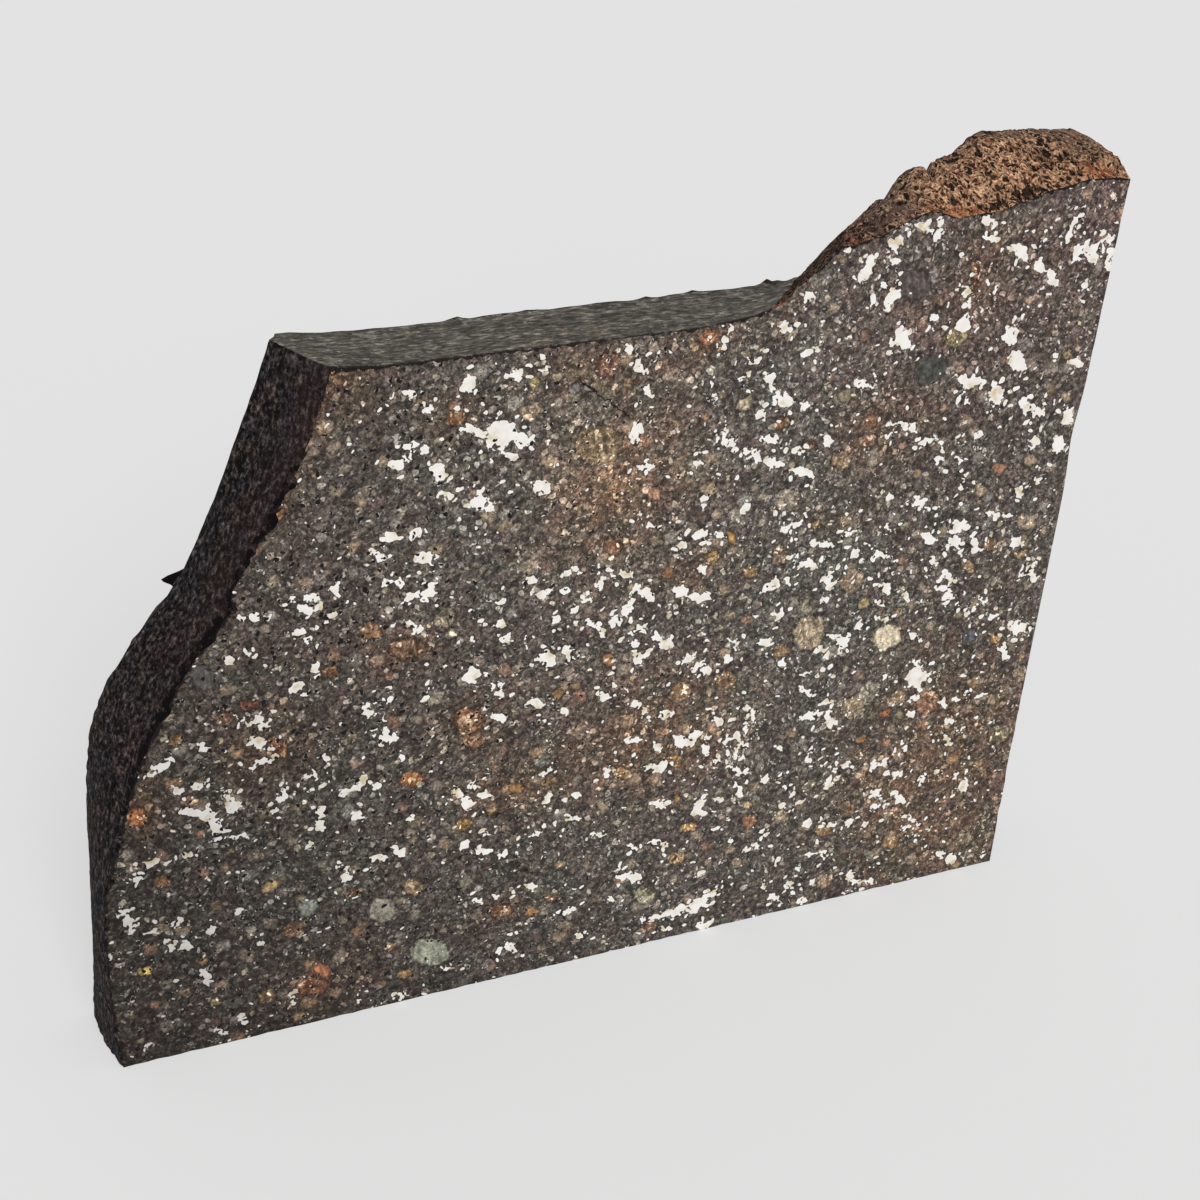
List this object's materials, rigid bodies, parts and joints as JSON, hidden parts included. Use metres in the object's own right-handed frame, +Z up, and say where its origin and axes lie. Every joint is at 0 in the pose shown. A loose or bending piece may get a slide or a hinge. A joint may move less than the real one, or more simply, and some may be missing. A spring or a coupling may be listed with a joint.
{
  "type": "chondrite meteorite slice",
  "caption": "Sawn and polished part slice of a stony meteorite, standing on its straight cut edge, with metal flecks, chondrules and a patch of rusty natural crust.",
  "frame": {"origin": "on the resting surface, under the middle of the slice", "axes": "+X along the straight sawn base, +Y from the polished front face to the sawn back face, +Z up"},
  "size_m": [0.0508, 0.0044, 0.0416],
  "materials": {
    "chondrite": "polished dark stone with bright iron-nickel flecks; sawn, weathered and rusty crusted edges"
  },
  "bodies": {
    "root": {"chondrite_slice": "chondrite"}
  },
  "joints": []
}
